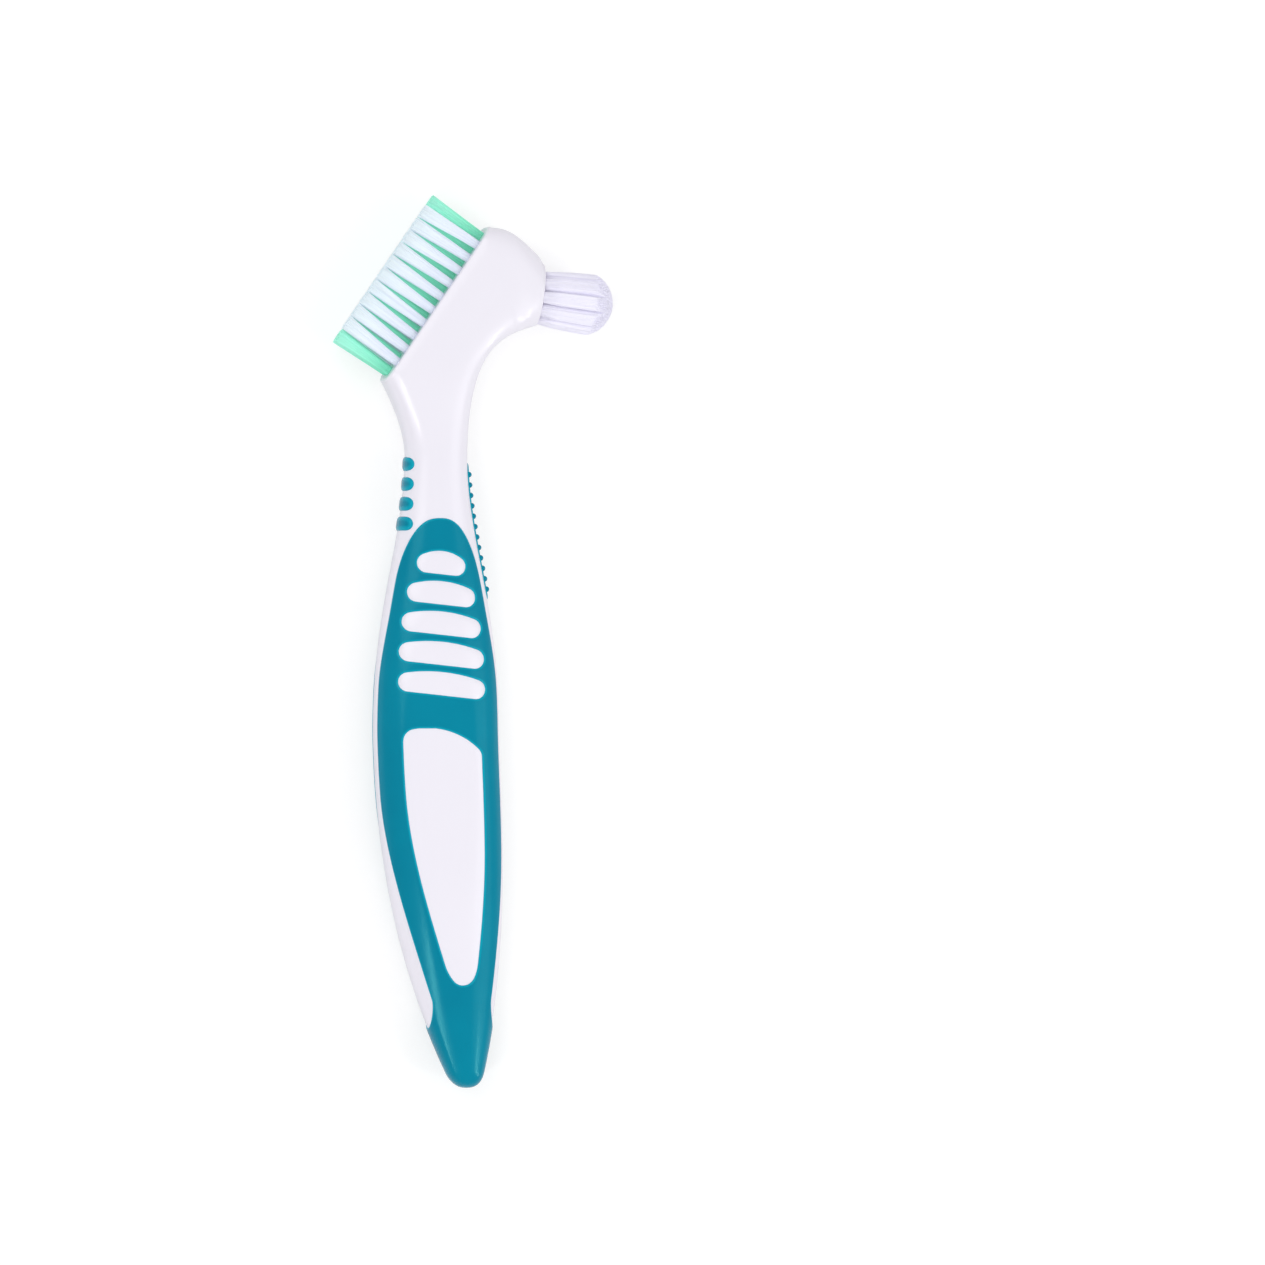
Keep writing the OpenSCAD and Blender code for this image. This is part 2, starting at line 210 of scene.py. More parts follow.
def half_w(y):
    if y < BELLY_Y:
        return lerp(BELLY_W, TAIL_W, below_belly(y)**TAIL_EASE)/2
    wide = (1 + math.cos(math.pi*above_belly(y)**NECK_EASE))/2
    return lerp(NECK_W, BELLY_W, wide)/2


def half_t(y):
    if y < BELLY_Y:
        return lerp(BELLY_T/2 + CROWN, TAIL_T/2, below_belly(y)**TAIL_EASE)
    return lerp(BELLY_T/2 + CROWN, NECK_T/2, ease(above_belly(y)))


# Sections of the handle


def handle_station(v):
    """The section at v: its middle, its half width as a vector, its half thickness and its power.
    v is y along the handle, and arc length round its end below TAIL_Y."""
    if v >= TAIL_Y:
        y = v
        share = 1.0
    else:
        a = max(0.0, math.pi/2 - (TAIL_Y - v)/TAIL_ROUND)
        y = TAIL_Y - TAIL_ROUND*math.cos(a)
        share = (1 - math.cos(a)**TAIL_SQ)**(1/TAIL_SQ)
    middle, half = np.array([centre_x(y), y]), np.array([half_w(y)*share, 0.0])
    return middle, half, half_t(y)*share, HANDLE_SQ


V_TIP = TAIL_Y - TAIL_ROUND*math.pi/2
face_dir, face_out = ray(FACE_SLOPE), ray(FACE_SLOPE + 90)
face_start, face_end = FACE_C - face_dir*FACE_LEN/2, FACE_C + face_dir*FACE_LEN/2
seat_dir, seat_up = ray(SEAT_SLOPE), ray(SEAT_SLOPE + 90)
seat_low, seat_high = SEAT_C - seat_up*SEAT_D/2, SEAT_C + seat_up*SEAT_D/2
# In space: the middle of the slanted face or the seat, the way out of it and the way along it
UP = np.array([0, 0, 1.0])
face_frame = np.append(FACE_C, MID), np.append(face_out, 0), np.append(face_dir, 0)
seat_frame = np.append(SEAT_C, MID), np.append(seat_dir, 0), np.append(seat_up, 0)
neck_left = np.array([centre_x(NECK_Y) - NECK_W/2, NECK_Y])
neck_right = np.array([centre_x(NECK_Y) + NECK_W/2, NECK_Y])

# Control points of the head's outline. The crotch runs from the neck to the small brush: its
# shares CROTCH_FACE and CROTCH_TOP face the two ends of the slanted face.
flare_curve = [neck_left, neck_left + [0, 4.5], face_start + [2, -5],
               face_start + FACE_CUT*face_out]
crotch_curve = [neck_right, neck_right + [0, 22], seat_low - 7.5*ray(16), seat_low]
CROTCH_FACE = 0.36
CROTCH_TOP = 0.78
SLOPE_MID = np.array([17.2, 115.95])
SLOPE_DIR = ray(-41.5)
top_curve = [face_end + FACE_CUT*face_out, face_end + 3.6*ray(14), SLOPE_MID - 4.6*SLOPE_DIR,
             SLOPE_MID]
lobe_curve = [SLOPE_MID, SLOPE_MID + 3.6*SLOPE_DIR, seat_high + 2.2*ray(98), seat_high]
TOP_SHARE = 0.62      # the share of the top's stations that lie on its first curve


def top_point(f):
    if f < TOP_SHARE:
        return bezier(top_curve, f/TOP_SHARE)
    return bezier(lobe_curve, (f - TOP_SHARE)/(1 - TOP_SHARE))


def ends_station(left, right, t, n):
    return (left + right)/2, (right - left)/2, t, n


def head_stations(flare, face, top):
    """Sections of the head, with so many in its flare, along its face and over its top."""
    out = []
    for i in range(1, flare + 1):
        f = i/flare
        out.append(ends_station(bezier(flare_curve, f), bezier(crotch_curve, CROTCH_FACE*f),
                                lerp(NECK_T, HEAD_T, ease(f))/2, lerp(HANDLE_SQ, HEAD_SQ, f)))
    for i in range(1, face + 1):
        f = i/face
        right = bezier(crotch_curve, lerp(CROTCH_FACE, CROTCH_TOP, f))
        out.append(ends_station(lerp(face_start, face_end, f) + FACE_CUT*face_out, right,
                                HEAD_T/2, HEAD_SQ))
    for i in range(1, top + 1):
        f = i/top
        right = bezier(crotch_curve, lerp(CROTCH_TOP, 1, f))
        out.append(ends_station(top_point(f), right, lerp(HEAD_T, SEAT_D, ease(f))/2,
                                lerp(HEAD_SQ, SEAT_SQ, ease(f))))
    return out


DENSE = np.linspace(0, math.pi/2, 181)


def landed(z):
    """Softly holds a height above mid thickness under the landing."""
    return LAND - np.logaddexp(0, LAND_SHARP*(LAND - z))/LAND_SHARP


def quarter(half, t, n, count):
    """Shares across and heights of a quarter section at count even steps of its arc, from the
    edge to the middle, and the length of that arc."""
    w = np.linalg.norm(half)
    u, z = np.cos(DENSE)**(2/n), landed(t*np.sin(DENSE)**(2/n))
    z = z - landed(0.0)*(1 - np.sin(DENSE))
    s = np.concatenate([[0], np.cumsum(np.hypot(np.diff(u*w), np.diff(z)))])
    at = np.linspace(0, s[-1], count)
    return np.interp(at, s, u), np.interp(at, s, z), s[-1]


def ring(station, m):
    """A closed section of m points, from the right edge over the front and under the back."""
    mid, half, t, n = station
    q = m//4
    u, z, _ = quarter(half, t, n, q + 1)
    us = np.concatenate([u, -u[-2::-1], -u[1:], u[-2:0:-1]])
    zs = np.concatenate([z, z[-2::-1], -z[1:], -z[-2:0:-1]])
    return np.column_stack([mid[0] + half[0]*us, mid[1] + half[1]*us, MID + zs])


# The front skin as a table over (a, v), where a is the arc length across from the centre line
DV = 0.25
V_ROWS = np.arange(V_TIP, NECK_Y + 6.3, DV)
COLS = 161
front, reach = [], []
for v in V_ROWS:
    mid, half, t, n = handle_station(v)
    u, z, length = quarter(half, t, n, COLS//2 + 1)
    us, zs = np.concatenate([u, -u[-2::-1]]), np.concatenate([z, z[-2::-1]])
    front.append(np.column_stack([mid[0] + half[0]*us, np.full(COLS, mid[1]), MID + zs]))
    reach.append(length)
front, reach = np.array(front), np.array(reach)
back_rows = front[:, ::-1] * [1, 1, -1] + [0, 0, 2*MID]
whole = np.concatenate([back_rows[:, -3:-1], front, back_rows[:, 1:3]], axis=1)
d_row, d_col = np.gradient(whole, axis=0)[:, 2:-2], np.gradient(whole, axis=1)[:, 2:-2]
normals = np.cross(d_row, d_col)
normals /= np.maximum(np.linalg.norm(normals, axis=2, keepdims=True), 1e-9)
normals[0] = [0, -1, 0]     # at the tip, where the section has no width


def half_arc(v):
    return np.interp(v, V_ROWS, reach)


def skin_at(a, v, height=0.0):
    """Points of the handle's skin at (a, v), raised by a height along its normal. Past an edge
    they run on over the back."""
    a, v = np.atleast_1d(np.asarray(a, float)), np.atleast_1d(np.asarray(v, float))
    arc = np.maximum(half_arc(v), 1e-6)
    q = a/arc
    behind = np.abs(q) > 1
    q = np.where(behind, np.sign(q)*2 - q, q)
    c = np.clip((1 - q)/2*(COLS - 1), 0, COLS - 1.001)
    r = np.clip((v - V_ROWS[0])/DV, 0, len(V_ROWS) - 1.001)
    ri, ci = r.astype(int), c.astype(int)
    rf, cf = (r - ri)[:, None], (c - ci)[:, None]

    def pick(t):
        return ((1 - rf)*((1 - cf)*t[ri, ci] + cf*t[ri, ci + 1])
                + rf*((1 - cf)*t[ri + 1, ci] + cf*t[ri + 1, ci + 1]))
    p, nn = pick(front), pick(normals)
    nn /= np.maximum(np.linalg.norm(nn, axis=1, keepdims=True), 1e-9)
    edge = np.abs(np.abs(q) - 1) < 1e-9
    nn[edge, 2] = 0
    nn /= np.maximum(np.linalg.norm(nn, axis=1, keepdims=True), 1e-9)
    out = p + nn*np.reshape(height, (-1, 1))
    out[edge, 2] = MID
    out[behind, 2] = 2*MID - out[behind, 2]
    return out


def arc_of(x, y):
    """The arc lengths a of points of the front skin that show at (x, y) in plan."""
    out = np.empty(len(x))
    for k, (px, py) in enumerate(zip(x, y)):
        r = min(max((py - V_ROWS[0])/DV, 0), len(V_ROWS) - 1.001)
        i = int(r)
        xs = front[i, :, 0]*(1 - r + i) + front[i + 1, :, 0]*(r - i)
        arc = half_arc(py)
        out[k] = np.interp(px, xs[::-1], np.linspace(-arc, arc, COLS))
    return out


# Outlines


def resample(p, step, closed):
    """The polyline p with its points at even steps. A closed one doesn't repeat its first point."""
    p = np.asarray(p, float)
    if closed:
        p = np.vstack([p, p[:1]])
    s = np.concatenate([[0], np.cumsum(np.linalg.norm(np.diff(p, axis=0), axis=1))])
    n = max(8, int(round(s[-1]/step)))
    at = np.linspace(0, s[-1], n + 1)
    out = np.column_stack([np.interp(at, s, p[:, k]) for k in range(p.shape[1])])
    return out[:-1] if closed else out


def outward(p):
    """Unit normals on the right hand side of a closed polyline, which is its outside if it runs
    anticlockwise."""
    t = np.roll(p, -1, 0) - np.roll(p, 1, 0)
    nn = np.column_stack([t[:, 1], -t[:, 0]])
    return nn/np.maximum(np.linalg.norm(nn, axis=1, keepdims=True), 1e-9)


def area(p):
    """Area inside a closed polyline, positive if it runs anticlockwise."""
    x, y = p[:, 0], p[:, 1]
    return 0.5*np.sum(x*np.roll(y, -1) - np.roll(x, -1)*y)


def inside(pts, poly):
    """Whether each point lies inside a closed polyline."""
    x, y = pts[:, 0][:, None], pts[:, 1][:, None]
    x1, y1 = poly[:, 0], poly[:, 1]
    x2, y2 = np.roll(x1, -1), np.roll(y1, -1)
    cross = (y1 > y) != (y2 > y)
    with np.errstate(divide="ignore", invalid="ignore"):
        xi = x1 + (y - y1)*(x2 - x1)/(y2 - y1)
    return (np.sum(cross & (x < xi), axis=1) % 2) == 1


def distance(pts, poly):
    """Distance of each point from a closed polyline, in batches to save memory."""
    batch = 2000
    d = np.roll(poly, -1, 0) - poly
    out = np.full(len(pts), 1e9)
    dd = np.maximum((d*d).sum(1), 1e-12)
    for k in range(0, len(pts), batch):
        p = pts[k:k + batch, None, :]
        t = np.clip(((p - poly)*d).sum(2)/dd, 0, 1)
        out[k:k + batch] = np.sqrt((((poly + t[..., None]*d) - p)**2).sum(2)).min(1)
    return out


def rounded(poly, r):
    """A closed anticlockwise outline with its outer corners rounded to radius r."""
    corner_steps = 16
    p = resample(poly, 0.08, True)
    c = p - outward(p)*r
    keep = distance(c, p) > r - 0.02
    start = int(np.argmax(keep & ~np.roll(keep, 1)))
    p, c, keep = np.roll(p, -start, 0), np.roll(c, -start, 0), np.roll(keep, -start)
    out, i, n = [], 0, len(p)
    while i < n:
        if keep[i]:
            out.append(p[i])
            i += 1
            continue
        j = i
        while j < n and not keep[j]:
            j += 1
        centre = (c[i - 1] + c[j % n])/2
        a0, a1 = [math.atan2(*(q - centre)[::-1]) for q in (p[i - 1], p[j % n])]
        while a1 < a0:
            a1 += 2*math.pi
        for k in range(1, corner_steps):
            a = lerp(a0, a1, k/corner_steps)
            out.append(centre + r*np.array([math.cos(a), math.sin(a)]))
        i = j
    return np.array(out)


def grip_rim(y, side):
    """Width of the white rim beside the grip at y, on the left (-1) or the right (1)."""
    belly, tail, top, start, length = RIMS[side]
    if y < BELLY_Y:
        wrapped = clamp((WRAP_FLARE - WRAP_Y - y)/WRAP_FLARE)**WRAP_EASE
        return lerp(belly, tail, ease((start - y)/length))*(1 - wrapped)
    return lerp(belly, top, ease((y - SLOT_Y)/RIM_TOP_LEN))


def grip_half(y, side):
    f = clamp((y - GRIP_TOP + GRIP_ROUND)/GRIP_ROUND)
    return (half_w(y) - grip_rim(y, side))*(1 - f**GRIP_SQ)**(1/GRIP_SQ)


def grip_side(side):
    """The side of the grip in plan, from the wrap to the top, with close points at both ends."""
    step, last = 0.4, 1.5
    flare_end = -WRAP_Y + WRAP_FLARE
    ys = np.concatenate([-WRAP_Y + WRAP_FLARE*(np.linspace(0, 1, 40)**2),
                         np.arange(flare_end + step, GRIP_TOP - last, step),
                         GRIP_TOP - last*np.linspace(1, 0, 60)**2])
    return np.array([[centre_x(y) + side*grip_half(y, side), y] for y in ys])


def slot_plan(y):
    """A slot in plan: an arched band with round ends, tilted a little."""
    r, pts = SLOT_W/2, []
    share = (y - SLOT_Y)/(GRIP_TOP - SLOT_TOP_RIM - SLOT_Y)
    reach_x = SLOT_REACH*math.sqrt(1 - share**2) - SLOT_W/2
    tilt = math.atan(2*SLOT_ARCH/reach_x)
    for a in np.linspace(-math.pi/2, math.pi/2 - tilt, 24):
        pts.append([reach_x + r*math.cos(a), r*math.sin(a)])
    for f in np.linspace(1, -1, 60)[1:-1]:
        t = math.atan(2*SLOT_ARCH*f/reach_x)
        pts.append([f*reach_x + r*math.sin(t), SLOT_ARCH*(1 - f*f) + r*math.cos(t)])
    for a in np.linspace(math.pi/2 + tilt, 3*math.pi/2, 24):
        pts.append([-reach_x + r*math.cos(a), r*math.sin(a)])
    c, s = ray(-SLOT_TILT)
    return np.array(pts) @ np.array([[c, s], [-s, c]]) + [centre_x(y) + SLOT_SHIFT, y]


def centres(p):
    """The centre line's x beside each point."""
    return [centre_x(y) for y in p[:, 1]]


def window_plan():
    """The window in plan: the grip's outline moved in, with an arched top and an oval bottom."""
    outline = resample(np.vstack([grip_side(1), grip_side(-1)[::-1]]), 0.15, True)
    bands = np.where(outline[:, 0] < centres(outline), BAND_LEFT, BAND_RIGHT)
    inner = outline - outward(outline)*bands[:, None]
    inner = inner[distance(inner, outline) > bands - 0.03]
    on_right = inner[:, 0] > centres(inner)
    ys = np.arange(-WINDOW_BOTTOM, WINDOW_TOP + 0.01, 0.1)
    sides = []
    for part in (inner[on_right], inner[~on_right]):
        part = part[np.argsort(part[:, 1])]
        sides.append(np.interp(ys, part[:, 1], part[:, 0]))
    xr, xl = sides
    arch_x, arch_y = centre_x(WINDOW_TOP) - WINDOW_LEAD, WINDOW_TOP - WINDOW_ARCH
    arch = np.sqrt(np.maximum(0, WINDOW_ARCH**2 - np.maximum(0, ys - arch_y)**2))
    xr, xl = np.minimum(xr, arch_x + arch), np.maximum(xl, arch_x - arch)
    # the bottom is half an oval, which the sides run into
    low = np.clip((WINDOW_OVAL - WINDOW_BOTTOM - ys)/WINDOW_OVAL, 0, 1)
    share, mid = (1 - low**WINDOW_SQ)**(1/WINDOW_SQ), (xr + xl)/2
    xr, xl = mid + (xr - mid)*share, mid + (xl - mid)*share
    ok = xr > xl + 0.05
    right, left = np.column_stack([xr, ys])[ok], np.column_stack([xl, ys])[ok]
    return rounded(np.vstack([right, left[::-1]]), WINDOW_ROUND)


def unroll(plan):
    """Points of the plan view in the skin's own coordinates (a, v)."""
    return np.column_stack([arc_of(plan[:, 0], plan[:, 1]), plan[:, 1]])


slot_loops = [resample(unroll(slot_plan(SLOT_Y + i*SLOT_PITCH)), 0.3, True)
              for i in range(SLOTS)]
window_loop = resample(unroll(window_plan()), 0.4, True)
left_line, right_line = unroll(grip_side(-1)), unroll(grip_side(1))
left_line[0, 0], right_line[0, 0] = -half_arc(-WRAP_Y), half_arc(-WRAP_Y)
grip_line = resample(np.vstack([right_line, left_line[::-1][1:]]), 0.4, False)

# Soft skins


FOOT = -0.2     # the height of a soft part's underside, which is sunk in the plastic


def rolled_edge(reach_in, height, steps):
    """Steps in from an outline and up: the foot and a quarter of an oval over it."""
    turns = np.linspace(0, math.pi/2, steps)
    return [(0.0, FOOT)] + [(reach_in*(1 - math.cos(b)), height*math.sin(b)) for b in turns]


EDGE = rolled_edge(0.45, PROUD, 7)
PILLOW = rolled_edge(1.05, 0.42, 9)


def band(r0, r1, m):
    """Faces between two rings of m points, whose numbers start at r0 and r1."""
    return [(r0 + i, r0 + (i + 1) % m, r1 + (i + 1) % m, r1 + i) for i in range(m)]


def triangles(loops, step):
    """Points and constrained triangles inside the first loop and outside the others, with a grid
    of inner points step apart. Each point also has its number in the loops and the grid, or -1."""
    def keep_in(pts):
        ok = inside(pts, loops[0])
        for hole in loops[1:]:
            ok &= ~inside(pts, hole)
        return ok
    lo, hi = loops[0].min(0), loops[0].max(0)
    gx, gy = np.arange(lo[0], hi[0], step), np.arange(lo[1], hi[1], step*0.866)
    grid = np.array([[x + (j % 2)*step/2, y] for j, y in enumerate(gy) for x in gx])
    edges, n = [], 0
    near = np.full(len(grid), 1e9)
    for loop in loops:
        m = len(loop)
        edges += [(n + i, n + (i + 1) % m) for i in range(m)]
        near = np.minimum(near, distance(grid, loop))
        n += m
    grid = grid[keep_in(grid) & (near > step*0.55)]
    pts = np.vstack([np.vstack(loops), grid])
    out = delaunay_2d_cdt([Vector(p) for p in pts], edges, [], 0, 1e-5, True)
    verts = np.array([list(v) for v in out[0]])
    faces = [f for f in out[2] if len(f) == 3]
    good = keep_in(verts[np.array(faces)].mean(1))
    faces = [f for f, g in zip(faces, good) if g]
    source = [o[0] if o else -1 for o in out[3]]
    return verts, faces, source


def link(data):
    """Puts a mesh, a lamp or a camera into the scene."""
    obj = bpy.data.objects.new(data.name, data)
    bpy.context.scene.collection.objects.link(obj)
    return obj


def show(mesh, material, slot):
    """Puts a mesh into the scene as a visible piece of the brush."""
    mesh.materials.append(material)
    mesh.shade_smooth()
    obj = link(mesh)
    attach(obj, "root")
    return obj


def add_mesh(name, verts, faces, material, slot, paint=None):
    """paint is a share from 0 to 1 for each vertex, the nearness of a rim, which the soft rubber
    paints as a lighter teal: a painted highlight on its rounded edges."""
    mesh = bpy.data.meshes.new(name)
    mesh.from_pydata([tuple(v) for v in np.asarray(verts)*MM], [],
                     [tuple(int(i) for i in f) for f in faces])
    mesh.validate()
    if paint is not None:
        attr = mesh.color_attributes.new("rim", "FLOAT_COLOR", "POINT")
        attr.data.foreach_set("color", np.repeat(np.asarray(paint, np.float32), 4))
    return show(mesh, material, slot)


def weld(obj, gap):
    """Joins points that lie closer than gap, in millimetres."""
    bm = bmesh.new()
    bm.from_mesh(obj.data)
    bmesh.ops.remove_doubles(bm, verts=bm.verts, dist=gap*MM)
    bmesh.ops.recalc_face_normals(bm, faces=bm.faces)
    bm.to_mesh(obj.data)
    bm.free()
    obj.data.shade_smooth()


def soft_skin(outer, holes, place, step, ends=(), edge=EDGE):
    """Verts, faces and rim shares of a closed soft skin over loops in a flat domain.

    place(points, height) puts points of the domain on the handle. outer is a list of (points,
    is_edge): only the parts that are an edge of the soft part are rounded down. ends gives the
    way outward at single points of the outer loop. edge holds the steps in and up of the rim."""
    line = np.vstack([p for p, _ in outer])
    is_edge = np.concatenate([np.full(len(p), e) for p, e in outer])
    loops = [(line, is_edge, 1.0)] + [(h, np.full(len(h), True), -1.0) for h in holes]
    reach_in, full_height = edge[-1]
    verts, faces, paint, inner_loops, top_ids, foot_ids = [], [], [], [], [], []
    for p, on_edge, sign in loops:
        out = outward(p)
        if area(p) < 0:
            out = -out
        out[~on_edge] = 0
        if sign > 0:
            for k, way in ends:
                out[k] = way
        rolls = np.linalg.norm(out, axis=1) > 0
        m, rings_ = len(p), []
        for d, h in edge:
            q = p - out*d*sign
            rings_.append(len(verts))
            verts += list(place(q, np.where(rolls, h, full_height)))
            # rolled rings get a share by which the rubber is painted lighter, a painted highlight
            # on the rounded edge
            paint += list(np.where(rolls, 1 - d/reach_in, 0.0))
        under = len(verts)
        verts += list(place(q, np.full(m, FOOT)))
        paint += [0.0]*m
        for r0, r1 in zip([under] + rings_, rings_):
            for i in range(m):
                j = (i + 1) % m
                if rolls[i] and rolls[j]:
                    a, b = (i, j) if sign > 0 else (j, i)
                    faces.append((r0 + a, r0 + b, r1 + b, r1 + a))
        inner_loops.append(q)
        top_ids += [rings_[-1] + i for i in range(m)]
        foot_ids += [under + i for i in range(m)]
    flat, tris, source = triangles(inner_loops, step)
    for height, ids, turn in ((full_height, top_ids, 1), (FOOT, foot_ids, -1)):
        placed, index = place(flat, np.full(len(flat), height)), {}
        for i in range(len(flat)):
            if 0 <= source[i] < len(ids):
                index[i] = ids[source[i]]
            else:
                index[i] = len(verts)
                verts.append(placed[i])
                paint.append(0.0)
        faces += [tuple(index[i] for i in f)[::turn] for f in tris]
    return verts, faces, paint


def on_skin(p, h):
    """Places points of the front skin, for soft_skin()."""
    return skin_at(p[:, 0], p[:, 1], h)


# Materials


def material(name):
    """A new material, its nodes and its Principled shader."""
    m = bpy.data.materials.new(name)
    m.use_nodes = True
    nt = m.node_tree
    nt.nodes.clear()
    out = nt.nodes.new("ShaderNodeOutputMaterial")
    b = nt.nodes.new("ShaderNodeBsdfPrincipled")
    nt.links.new(b.outputs[0], out.inputs[0])
    return m, nt, b


def lin(rgb):
    """A screen colour of 0 to 255 a channel in linear light, with alpha."""
    shares = [x/255 for x in rgb]
    return tuple(c/12.92 if c <= 0.04045 else ((c + 0.055)/1.055)**2.4 for c in shares) + (1.0,)


def put(node, **values):
    """Sets inputs of a node. An underscore stands for a space in an input's name."""
    for name, value in values.items():
        node.inputs[name.replace("_", " ")].default_value = value


def noise(nt, scale, detail=3.0, rough=0.5):
    co = nt.nodes.new("ShaderNodeTexCoord")
    n = nt.nodes.new("ShaderNodeTexNoise")
    put(n, Scale=scale, Detail=detail, Roughness=rough)
    nt.links.new(co.outputs["Object"], n.inputs["Vector"])
    return n.outputs["Fac"]


def ramp(nt, source, stops):
    """Turns a share into a colour. stops is a list of (share, colour)."""
    r = nt.nodes.new("ShaderNodeValToRGB")
    e = r.color_ramp.elements
    while len(e) < len(stops):
        e.new(0.5)
    for el, (at, col) in zip(e, stops):
        el.position, el.color = at, col
    nt.links.new(source, r.inputs[0])
    return r.outputs[0]


def bump(nt, b, source, distance_mm, strength=1.0):
    n = nt.nodes.new("ShaderNodeBump")
    put(n, Strength=strength, Distance=distance_mm*MM)
    nt.links.new(source, n.inputs["Height"])
    nt.links.new(n.outputs[0], b.inputs["Normal"])


def spread(nt, source, low, high):
    """Maps a noise's usual range to the range from low to high."""
    r = nt.nodes.new("ShaderNodeMapRange")
    put(r, From_Min=0.1, From_Max=0.9, To_Min=low, To_Max=high)
    nt.links.new(source, r.inputs["Value"])
    return r.outputs[0]


def colour_mix(nt, first, blend):
    """Mixes two colours, the first one linked. Gives the mix's share, second colour and result,
    as the node's colours are its inputs 6 and 7 and its output 2."""
    mix = nt.nodes.new("ShaderNodeMix")
    mix.data_type, mix.blend_type = "RGBA", blend
    nt.links.new(first, mix.inputs[6])
    return mix.inputs[0], mix.inputs[7], mix.outputs[2]


def white_plastic():
    m, nt, b = material("white_plastic")
    cloud = noise(nt, 28.0, 4.0)
    r = ramp(nt, cloud, [(0.1, lin((240, 237, 247))), (0.9, lin((244, 241, 250)))])
    nt.links.new(r, b.inputs["Base Color"])
    nt.links.new(spread(nt, cloud, 0.27, 0.29), b.inputs["Roughness"])
    put(b, Coat_Weight=0.2, Coat_Roughness=0.1)
    bump(nt, b, noise(nt, 90.0, 0.0), 0.01, 0.3)
    return m


def soft_rubber():
    m, nt, b = material("teal_rubber")
    cloud = noise(nt, 60.0, 5.0)
    r = ramp(nt, cloud, [(0.3, lin((0, 127, 156))), (0.7, lin((0, 135, 163)))])
    # the rolled rims are painted a lighter teal: a painted highlight where the rounded edges catch
    # the light
    rim = nt.nodes.new("ShaderNodeAttribute")
    rim.attribute_name = "rim"
    light = ramp(nt, rim.outputs["Fac"], [(0.0, (0, 0, 0, 1)), (0.55, (0.6, 0.6, 0.6, 1))])
    share, painted_rim_highlight, mixed = colour_mix(nt, r, "MIX")
    painted_rim_highlight.default_value = lin((10, 176, 200))
    nt.links.new(light, share)
    nt.links.new(mixed, b.inputs["Base Color"])
    grain = noise(nt, 5200.0, 2.0, 0.6)
    nt.links.new(spread(nt, cloud, 0.17, 0.2), b.inputs["Roughness"])
    put(b, Specular_IOR_Level=0.3, Specular_Tint=(0.3, 1.0, 0.85, 1.0))
    bump(nt, b, grain, 0.02, 0.25)
    return m


def bristle(name, root, tip, foot_shade, low, glow):
    """A filament's material: darker at its foot, a painted shade where the tuft meets the head,
    then root, then tip at its end, lighter there as painted light, and darkened by its tone down to
    low.
    Filaments let light through, which glow stands in for as a painted glow."""
    m, nt, b = material(name)
    at = nt.nodes.new("ShaderNodeAttribute")
    at.attribute_name = "strand"
    split = nt.nodes.new("ShaderNodeSeparateColor")
    nt.links.new(at.outputs["Color"], split.inputs[0])
    # the colour along a filament is painted light and shade: shaded at the foot, lit towards the
    # end
    along = ramp(nt, split.outputs[0], [(0.0, foot_shade), (0.3, root), (1.0, tip)])
    tone = ramp(nt, split.outputs[1], [(0.0, (low, low, low, 1)), (1.0, (1, 1, 1, 1))])
    share, second, mixed = colour_mix(nt, along, "MULTIPLY")
    share.default_value = 1.0
    nt.links.new(tone, second)
    nt.links.new(mixed, b.inputs["Base Color"])
    put(b, Roughness=0.4, Specular_IOR_Level=0.3, Emission_Color=root, Emission_Strength=glow)
    return m


def plated_wire():
    m, nt, b = material("anchor_metal")
    stain = noise(nt, 2400.0)
    r = ramp(nt, stain, [(0.3, (0.50, 0.47, 0.38, 1)), (0.7, (0.62, 0.58, 0.48, 1))])
    nt.links.new(r, b.inputs["Base Color"])
    put(b, Metallic=1.0, Roughness=0.35)
    bump(nt, b, stain, 0.01, 0.4)
    return m


WHITE = white_plastic()
TEAL = soft_rubber()
# the darker third colours paint the shade at the tufts' feet, the lighter tips paint light at their
# ends, and the last numbers are a painted glow
WHITE_STRAND = bristle("white_strand", lin((230, 237, 250)), lin((232, 245, 250)),
                       lin((226, 235, 248)), 0.9, 0.12)
SMALL_STRAND = bristle("small_strand", lin((240, 238, 250)), lin((238, 236, 250)),
                       lin((240, 238, 250)), 0.96, 0.1)
MINT_STRAND = bristle("mint_strand", lin((150, 243, 212)), lin((176, 250, 230)),
                      lin((130, 238, 202)), 0.84, 0.14)
METAL = plated_wire()

# Handle


RING = 160            # points round a section
ROW_STEP = 0.85       # between two sections
SLOT_ZONE = (24, 57)  # all slots lie between these y, where the sections are closer together
SLOT_ROW_STEP = 0.36
HEAD_Y = 82           # the two caps cut only what lies above this y
HOLE_SIDES = 20
PLATE_STEP = 0.8      # between the inner points of a cap's plate


def handle_rows():
    """Places v of the sections from the tail to the neck."""
    rows = [TAIL_Y - TAIL_ROUND*a for a in np.linspace(math.pi/2*0.985, 0, 18)]
    v = TAIL_Y
    while v < NECK_Y - 0.3:
        v += SLOT_ROW_STEP if SLOT_ZONE[0] < v < SLOT_ZONE[1] else ROW_STEP
        rows.append(min(v, NECK_Y))
    rows[-1] = NECK_Y
    return rows


